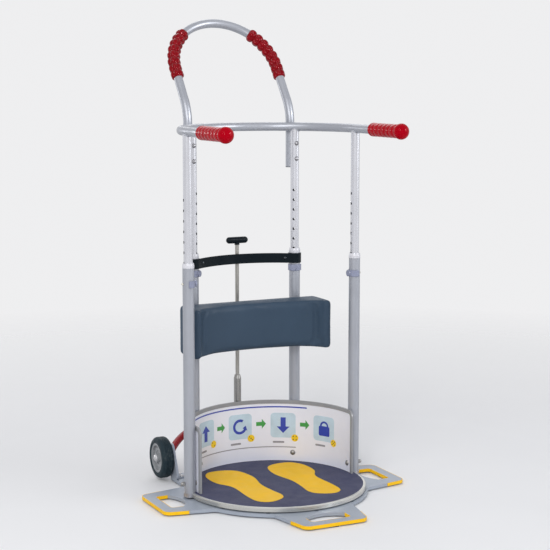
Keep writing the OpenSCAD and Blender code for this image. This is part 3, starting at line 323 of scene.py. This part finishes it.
def grid_mesh(name, rows, closed_rows=False):
    """A closed skin over rings of points; the end rings are capped, or joined when closed_rows."""
    n, count = len(rows[0]), len(rows)
    verts = [tuple(p) for row in rows for p in row]
    faces = []
    for i in range(count if closed_rows else count - 1):
        a, b = i * n, (i + 1) % count * n
        for j in range(n):
            faces.append((a + j, a + (j + 1) % n, b + (j + 1) % n, b + j))
    if not closed_rows:
        faces.append(tuple(reversed(range(n))))
        faces.append(tuple(range((count - 1) * n, count * n)))
    return solid_mesh(name, verts, faces)


def bead_mesh(name, points, radius, sides):
    """A round bead along a closed line of points."""
    pts = [Vector(p) for p in points]
    rows = []
    up = None
    for i, p in enumerate(pts):
        t = (pts[(i + 1) % len(pts)] - pts[i - 1]).normalized()
        if up is None:
            up = t.orthogonal().normalized()
        up = (up - t * up.dot(t)).normalized()
        side = t.cross(up)
        rows.append([p + radius * (math.cos(v) * up + math.sin(v) * side) for v in turns(sides)])
    return grid_mesh(name, rows, closed_rows=True)


# Grips

def hoop_point(x, depth, along):
    """A point of the hoop's leaning plane, by its distance along the lean and off the plane."""
    c, s = math.cos(LEAN), math.sin(LEAN)
    return Vector((x, LEG_Y + depth * c + along * s, BEND_Z - depth * s + along * c))


def bubble_grip(name):
    """A sleeve along the hoop's bend, with rings of knobs."""
    start, pitch, count, around = -0.031, 0.0195, 8, 6
    sleeve_r, wall, knob, fullness, end_round = 0.0114, 0.0006, 0.0053, 0.55, 0.005
    steps, sides = 192, 96
    length = pitch * count
    rows = []
    for i in range(steps + 1):
        u = i / steps
        s = start + u * length
        t = max(0.0, s / REAR_X)
        centre = (REAR_X * math.cos(t), STRAIGHT + min(0.0, s) + REAR_X * math.sin(t))
        end = min(u, 1 - u) * length
        taper = math.sqrt(max(0.0, 1 - (1 - min(1.0, end / end_round)) ** 2))
        wave = abs(math.sin(math.pi * count * u))
        row = []
        for v in turns(sides, 0.5):
            lump = (wave * abs(math.cos(around / 2 * v))) ** fullness
            r = sleeve_r + taper * (wall + knob * lump)
            out = r * math.cos(v)
            x, along = centre[0] + out * math.cos(t), centre[1] + out * math.sin(t)
            row.append(hoop_point(x, r * math.sin(v), along))
        rows.append(row)
    return grid_mesh(name, rows)


def rail_grip(name):
    """A turned grip on the rail's end: a flange, ribs, a neck and a ball with a domed end."""
    start, length, ribs = 0.080, 0.150, 6
    body, groove, bulb, tip = 0.0168, 0.0012, 0.0193, 0.0003
    flange, neck, ball = 0.05, 0.78, 0.88
    steps, dome_steps, sides = 264, 24, 64
    profile = []
    for i in range(steps + 1):
        s = ball * i / steps
        if s < flange:
            edge = min(1.0, min(s, flange - s) * length / groove)
            r = body - groove * (1 - math.sqrt(1 - (1 - edge) ** 2))
        elif s < neck:
            u = (s - flange) / (neck - flange)
            r = body - groove * (1 - math.sqrt(abs(math.sin(math.pi * ribs * u))))
        else:
            ease = 0.5 - 0.5 * math.cos(math.pi * (s - neck) / (ball - neck))
            r = (body - groove) * (1 - ease) + bulb * ease
        profile.append((s * length, r))
    for i in range(1, dome_steps + 1):
        a = math.pi / 2 * i / dome_steps
        s = ball + (1 - ball) * math.sin(a)
        profile.append((s * length, max(tip, bulb * math.cos(a))))
    rows = []
    for s, r in profile:
        rows.append([(UPRIGHT_R + r * math.cos(v), -start - s, RAIL_Z + r * math.sin(v))
                     for v in turns(sides)])
    return grid_mesh(name, rows)


for stem, node, mesh, look in (("hoop_grip_bubbles", "hoop_grip", bubble_grip, "red_grip"),
                               ("rail_grip_ribbed", "rail_grip", rail_grip, "rail_red")):
    right = piece(stem + "_right", mesh(stem + "_right"), look, "handle_frame")
    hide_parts(node + "_right")
    left = mirrored(right, stem + "_left", "handle_frame")
    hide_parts(node + "_left")


# Tyres

def tyre_mesh(name, x_mid):
    """A turned tyre: a fine line by the hub, round shoulders and three grooves in the tread."""
    half, r_in, r_out, corner = 0.016, 0.03802, 0.0525, 0.0096
    line_from, line_mid, line_to, line_depth = 0.0012, 0.0018, 0.0026, 0.0006
    grooves, groove_top, groove_floor, groove_depth = (-0.0042, 0.0, 0.0042), 0.0008, 0.0005, 0.0009
    steps, sides = 12, 128
    wall = [(half, r_in), (half, r_in + line_from), (half - line_depth, r_in + line_mid),
            (half, r_in + line_to)]
    for i in range(steps + 1):
        a = math.pi / 2 * i / steps
        wall.append((half - corner + corner * math.cos(a), r_out - corner + corner * math.sin(a)))
    profile = [(-x, r) for x, r in wall]
    for g in grooves:
        profile += [(g - groove_top, r_out), (g - groove_floor, r_out - groove_depth),
                    (g + groove_floor, r_out - groove_depth), (g + groove_top, r_out)]
    profile += reversed(wall)
    rows = []
    for v in turns(sides):
        c, s = math.cos(v), math.sin(v)
        rows.append([(x_mid + x, AXLE[1] + r * c, AXLE[2] + r * s) for x, r in profile])
    return grid_mesh(name, rows, closed_rows=True)


for side, x in (("left", -AXLE[0]), ("right", AXLE[0])):
    name = "tyre_grooved_" + side
    o = piece(name, tyre_mesh(name, x), "tyre", "wheel_" + side)
    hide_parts("tyre_" + side)


# Weld beads at the rail

BEAD_R = 0.0014
BEAD_LIFT = 0.0002
BEAD_DROP = 0.0046
BEAD_STEPS = 56
BEAD_SIDES = 10


def saddle(turn):
    """The line where an inner tube meets the rail, seen on the tube's wall."""
    r = INNER_R + BEAD_LIFT
    c, s = math.cos(turn), math.sin(turn)
    points = []
    for v in turns(BEAD_STEPS):
        d = Vector((UPRIGHT_R + r * math.cos(v), r * math.sin(v)))
        off = d.length - UPRIGHT_R
        drop = math.sqrt(max(0.0, r ** 2 - off * off))
        points.append((d.x * c - d.y * s, d.x * s + d.y * c, RAIL_Z - max(drop, BEAD_DROP)))
    return points


for place, turn in UPRIGHT_TURNS.items():
    name = "weld_bead_" + place
    mesh = bead_mesh(name, saddle(math.radians(turn)), BEAD_R, BEAD_SIDES)
    piece(name, mesh, "silver_coat", "handle_frame")


# Knee pad

PAD_BACK, PAD_Z, PAD_HALF, PAD_T, PAD_H = 0.1556, 0.399, 0.1895, 0.097, 0.123
HOLLOW, HOLLOW_HALF = 0.0545, 0.171
HOLLOW_FROM, HOLLOW_TURN, HOLLOW_STEPS = 11, 158, 32
HELD_BACK = 0.004
MOST_SWELL = 0.0028
LEAST_STEP = 1e-9
CLOTH_FRAMES = 20
CLOTH = {
    "quality": 6,
    "mass": 0.4,
    "tension_stiffness": 30,
    "compression_stiffness": 30,
    "shear_stiffness": 15,
    "bending_stiffness": 4,
    "use_pressure": True,
    "uniform_pressure_force": 4,
    "vertex_group_mass": "back",
}


def pad_block(name):
    """The pad before it is filled: a block with a flat back, a hollow front and sharp edges."""
    front = PAD_BACK - PAD_T
    outline = [(-PAD_HALF, PAD_BACK), (-PAD_HALF, front), (-HOLLOW_HALF, front)]
    for i in range(HOLLOW_STEPS + 1):
        a = math.pi - math.radians(HOLLOW_FROM + HOLLOW_TURN * i / HOLLOW_STEPS)
        outline.append((HOLLOW_HALF * math.cos(a), front + HOLLOW * math.sin(a)))
    outline += [(HOLLOW_HALF, front), (PAD_HALF, front), (PAD_HALF, PAD_BACK)]
    rows = [[(x, y, PAD_Z + up * PAD_H / 2) for x, y in outline] for up in (-1, 1)]
    return grid_mesh(name, rows)


def worked(name, mesh):
    o = bpy.data.objects.new(name, mesh)
    scene.collection.objects.link(o)
    return o


def modifier(o, name, kind, **settings):
    mod = o.modifiers.new(name, kind)
    for key, value in settings.items():
        setattr(mod, key, value)
    return mod


def evaluated_mesh(o):
    dg = bpy.context.evaluated_depsgraph_get()
    return bpy.data.meshes.new_from_object(o.evaluated_get(dg), depsgraph=dg)


def swell_pad(name):
    """Rounds the pad's edges and fills it by cloth with pressure; its back stays flat."""
    o = worked(name + "_work", pad_block(name))
    modifier(o, "edges", "BEVEL", width=0.007, segments=4, limit_method="ANGLE", angle_limit=math.radians(50))
    modifier(o, "voxels", "REMESH", mode="VOXEL", voxel_size=0.0042, use_smooth_shade=True)
    modifier(o, "even", "SMOOTH", factor=0.5, iterations=3)
    mesh = evaluated_mesh(o)
    bpy.data.objects.remove(o)
    o = worked(name + "_cloth", mesh)
    rest = np.array([v.co for v in mesh.vertices])
    held = np.nonzero(rest[:, 1] > PAD_BACK - HELD_BACK)[0]
    o.vertex_groups.new(name="back").add(held.tolist(), 1.0, "REPLACE")
    cloth = o.modifiers.new("cloth", "CLOTH")
    for key, value in CLOTH.items():
        setattr(cloth.settings, key, value)
    cloth.settings.effector_weights.gravity = 0
    cloth.point_cache.frame_start = 1
    cloth.point_cache.frame_end = CLOTH_FRAMES
    for f in range(1, CLOTH_FRAMES + 1):
        scene.frame_set(f)
    moved = evaluated_mesh(o)
    step = np.array([v.co for v in moved.vertices]) - rest
    far = np.linalg.norm(step, axis=1)
    share = np.minimum(1.0, MOST_SWELL / np.maximum(far, LEAST_STEP))
    moved.vertices.foreach_set("co", (rest + step * share[:, None]).astype(np.float32).ravel())
    moved.update()
    bpy.data.objects.remove(o)
    scene.frame_set(1)
    return moved


pad = piece("knee_pad_cover", swell_pad("knee_pad_cover"), "pad_vinyl", "knee_pad")
modifier(pad, "smooth", "SUBSURF", levels=1, render_levels=1)
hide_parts("knee_pad")


# Print on the guard panel: u runs round from its middle to the patient's right

INKS = {
    "blue": (44, 66, 172),
    "sky": (196, 218, 232),
    "grey": (150, 150, 158),
    "green": (66, 158, 74),
    "yellow": (246, 206, 30),
    "dark": (46, 46, 58),
}
INK_LAYERS = {"sky": 1, "grey": 1, "green": 1, "blue": 2, "yellow": 3, "dark": 4}
INK_LIFT, INK_LAYER, INK_SINK = 0.0001, 0.00012, 0.00005
INK_STRIP = 0.004
STATIONS = [-0.232, -0.116, 0.0, 0.116, 0.232]
MID_Z = DECK + 0.094
TILE, TILE_CORNER = 0.066, 0.01
BADGE_U, BADGE_Z, BADGE_R = 0.031, -0.033, 0.0095
PIP, PIP_R, PIP_SIDES = 0.004, 0.0015, 14
PIPS = [(0, 0), (-PIP, PIP), (PIP, -PIP), (PIP, PIP), (-PIP, -PIP)]
BOW_STEPS = 26


def on_panel(u, z, lift):
    """A point on the panel's inner face."""
    a = math.pi / 2 - u / PANEL_IN_R
    r = PANEL_IN_R - lift
    return Vector((r * math.cos(a), r * math.sin(a), z))


def arc(u, z, r, angles):
    return [(u + r * math.cos(a), z + r * math.sin(a)) for a in angles]


def disc(u, z, r, n=40):
    return arc(u, z, r, turns(n))


def tile(u, z, w, h, r, n=8):
    """A rectangle with round corners."""
    pts = []
    for cu, cz, a0 in ((1, 1, 0), (-1, 1, 90), (-1, -1, 180), (1, -1, 270)):
        angles = [math.radians(a0 + 90 * k / n) for k in range(n + 1)]
        pts += arc(u + cu * (w / 2 - r), z + cz * (h / 2 - r), r, angles)
    return pts


def arrow(u, z, length, width, turn):
    shape = [(-0.5, -0.2), (0.08, -0.2), (0.08, -0.5), (0.5, 0), (0.08, 0.5), (0.08, 0.2), (-0.5, 0.2)]
    c, s = math.cos(turn), math.sin(turn)
    return [(u + length * a * c - width * b * s, z + length * a * s + width * b * c) for a, b in shape]


def bow(u, z, r, w, a0, a1, head=False):
    """Part of a ring from one angle to another, with an arrow head at its end or without."""
    angles = [math.radians(a0 + (a1 - a0) * k / BOW_STEPS) for k in range(BOW_STEPS + 1)]
    pts = arc(u, z, r + w / 2, angles)
    if head:
        wing, tip = 1.1 * w, angles[-1] + math.copysign(1.5 * w / r, a1 - a0)
        pts += arc(u, z, r + wing, angles[-1:]) + arc(u, z, r, [tip]) + arc(u, z, r - wing, angles[-1:])
    return pts + arc(u, z, r - w / 2, reversed(angles))


def sole(u, z, w, h, side):
    shape = [(0.0, 0.5), (0.3, 0.44), (0.44, 0.25), (0.36, 0.02), (0.24, -0.16), (0.27, -0.36),
             (0.12, -0.49), (-0.12, -0.49), (-0.27, -0.38), (-0.24, -0.14), (-0.3, 0.04),
             (-0.42, 0.24), (-0.3, 0.44)]
    return [(u + side * a * w, z + b * h) for a, b in shape]


def print_layer(name, shapes, look, layer):
    """Printed shapes as one thin skin, cut in strips so that it follows the curve."""
    bm = bmesh.new()
    for pts in shapes:
        bm.faces.new([bm.verts.new((u, 0, z)) for u, z in pts])
    lo = min(u for pts in shapes for u, z in pts)
    hi = max(u for pts in shapes for u, z in pts)
    for k in range(math.floor(lo / INK_STRIP), math.ceil(hi / INK_STRIP) + 1):
        geom = bm.verts[:] + bm.edges[:] + bm.faces[:]
        bmesh.ops.bisect_plane(bm, geom=geom, plane_co=(k * INK_STRIP, 0, 0), plane_no=(1, 0, 0))
    bmesh.ops.triangulate(bm, faces=bm.faces[:])
    flat = [(v.co.x, v.co.z) for v in bm.verts]
    tris = [tuple(v.index for v in f.verts) for f in bm.faces]
    rims = [[v.index for v in e.verts] for e in bm.edges if e.is_boundary]
    bm.free()
    n = len(flat)
    lift = INK_LAYER * layer + INK_LIFT
    verts = [on_panel(u, z, lift) for u, z in flat]
    verts += [on_panel(u, z, -INK_SINK) for u, z in flat]
    faces = tris + [tuple(i + n for i in reversed(t)) for t in tris]
    faces += [(a, b, b + n, a + n) for a, b in rims]
    piece(name, solid_mesh(name, verts, faces), look, "turntable", smooth=False)


printed = {name: [] for name in INKS}
for i, u in enumerate(STATIONS):
    printed["sky"].append(tile(u, MID_Z, TILE, TILE, TILE_CORNER))
    printed["yellow"].append(disc(u + BADGE_U, MID_Z + BADGE_Z, BADGE_R))
    count = i + 1
    first = 1 - count % 2
    for du, dz in PIPS[first:first + count]:
        printed["dark"].append(disc(u + BADGE_U + du, MID_Z + BADGE_Z + dz, PIP_R, PIP_SIDES))
    printed["grey"].append(tile(u - 0.012, MID_Z - 0.045, 0.03, 0.005, 0.002))
    if u != STATIONS[-1]:
        printed["green"].append(arrow(u + 0.058, MID_Z + 0.004, 0.026, 0.026, 0.0))
printed["grey"].append(tile(0.0, DECK + 0.036, 0.30, 0.0025, 0.001))
feet, up, around, down, lock = STATIONS
printed["blue"] += [
    sole(feet - 0.011, MID_Z, 0.019, 0.04, -1),
    sole(feet + 0.011, MID_Z, 0.019, 0.04, 1),
    arrow(up, MID_Z, 0.042, 0.034, math.pi / 2),
    bow(around, MID_Z, 0.0165, 0.007, 60, 330, head=True),
    arrow(down, MID_Z, 0.042, 0.034, -math.pi / 2),
    tile(lock, MID_Z - 0.006, 0.034, 0.026, 0.004),
    bow(lock, MID_Z + 0.007, 0.0105, 0.005, 0, 180),
    tile(0.0, DECK + 0.143, 0.36, 0.0035, 0.0015),
]
for name, color in INKS.items():
    ink("ink_" + name, color)
for name, layer in INK_LAYERS.items():
    print_layer("panel_print_" + name, printed[name], "ink_" + name, layer)


# Floor: it fades into the backdrop away from the object

FLOOR_R, FLOOR_SIDES, FLOOR_Z = 40, 96, -0.0004
FADE_FROM, FADE_TO = 0.9, 3.0

k = Look("floor", (240, 240, 241), 0.75, 0.0)
k.vary(k.noise(1.5, 3), 0.01)
fade = k.span(k.length(k.object), FADE_FROM, FADE_TO, 0.0, 1.0)
clear = k.node("ShaderNodeBsdfTransparent").outputs[0]
blend = k.node("ShaderNodeMixShader", {0: fade, 1: k.shader.outputs[0], 2: clear}).outputs[0]
k.tree.links.new(blend, k.tree.nodes["Material Output"].inputs["Surface"])
mesh = bpy.data.meshes.new("floor")
mesh.from_pydata([(FLOOR_R * math.cos(a), FLOOR_R * math.sin(a), FLOOR_Z) for a in turns(FLOOR_SIDES)],
                 [], [tuple(range(FLOOR_SIDES))])
mesh.materials.append(k.mat)
floor = bpy.data.objects.new("floor", mesh)
scene.collection.objects.link(floor)


# World: soft light on the object, and a pale backdrop for the camera and in reflections

world = bpy.data.worlds.new("studio")
scene.world = world
world.use_nodes = True
tree = world.node_tree
tree.nodes.clear()


def backdrop(color, strength):
    n = tree.nodes.new("ShaderNodeBackground")
    n.inputs["Color"].default_value = color
    n.inputs["Strength"].default_value = strength
    return n.outputs[0]


path = tree.nodes.new("ShaderNodeLightPath").outputs
first = tree.nodes.new("ShaderNodeMath")
first.operation = "MAXIMUM"
both = tree.nodes.new("ShaderNodeMath")
both.operation = "MAXIMUM"
mix = tree.nodes.new("ShaderNodeMixShader")
out = tree.nodes.new("ShaderNodeOutputWorld")
for source, target in ((path["Is Camera Ray"], first.inputs[0]),
                       (path["Is Glossy Ray"], first.inputs[1]),
                       (first.outputs[0], both.inputs[0]),
                       (path["Is Transmission Ray"], both.inputs[1]),
                       (both.outputs[0], mix.inputs[0]),
                       (backdrop((0.93, 0.95, 1.0, 1), 0.45), mix.inputs[1]),
                       (backdrop((0.86, 0.86, 0.87, 1), 1.0), mix.inputs[2]),
                       (mix.outputs[0], out.inputs[0])):
    tree.links.new(source, target)


# Lamps: the glint gives highlights only

def area_light(name, place, aim_z, size, watts, color=(1, 1, 1), diffuse=True):
    data = bpy.data.lights.new(name, "AREA")
    data.shape = "DISK"
    data.size = size
    data.energy = watts
    data.color = color
    o = bpy.data.objects.new(name, data)
    scene.collection.objects.link(o)
    o.location = place
    o.rotation_mode = "QUATERNION"
    o.rotation_quaternion = (Vector((0, 0, aim_z)) - Vector(place)).to_track_quat("-Z", "Y")
    o.visible_camera = False
    o.visible_diffuse = diffuse


area_light("key", (-2.6, -2.4, 3.2), 0.5, 2.2, 56, (1.0, 0.985, 0.96))
area_light("spark", (-1.9, -3.0, 2.0), 0.7, 0.9, 40)
area_light("glint", (2.4, -2.7, 2.2), 0.9, 0.6, 70, diffuse=False)
area_light("fill", (2.8, -2.2, 1.8), 0.6, 2.4, 34, (0.95, 0.97, 1.0))
area_light("back", (1.2, 3.2, 3.0), 0.6, 3.0, 28)
area_light("rim", (-1.7, 2.8, 1.2), 0.8, 0.6, 8)


# Camera, at the photo's viewing angle

CAMERA_AT = (-1.5886, -3.2411, 1.0388)
CAMERA_TURN, CAMERA_DIP = math.radians(26.11), math.radians(7.81)

camera = bpy.data.cameras.new("camera")
camera.sensor_width = 36.0
camera.lens = 97.75
camera.clip_end = 100
eye = bpy.data.objects.new("camera", camera)
scene.collection.objects.link(eye)
level = math.cos(CAMERA_DIP)
look_at = Vector((math.sin(CAMERA_TURN) * level, math.cos(CAMERA_TURN) * level, -math.sin(CAMERA_DIP)))
eye.location = CAMERA_AT
eye.rotation_mode = "QUATERNION"
eye.rotation_quaternion = look_at.to_track_quat("-Z", "Y")
scene.camera = eye
scene.view_settings.view_transform = "Standard"
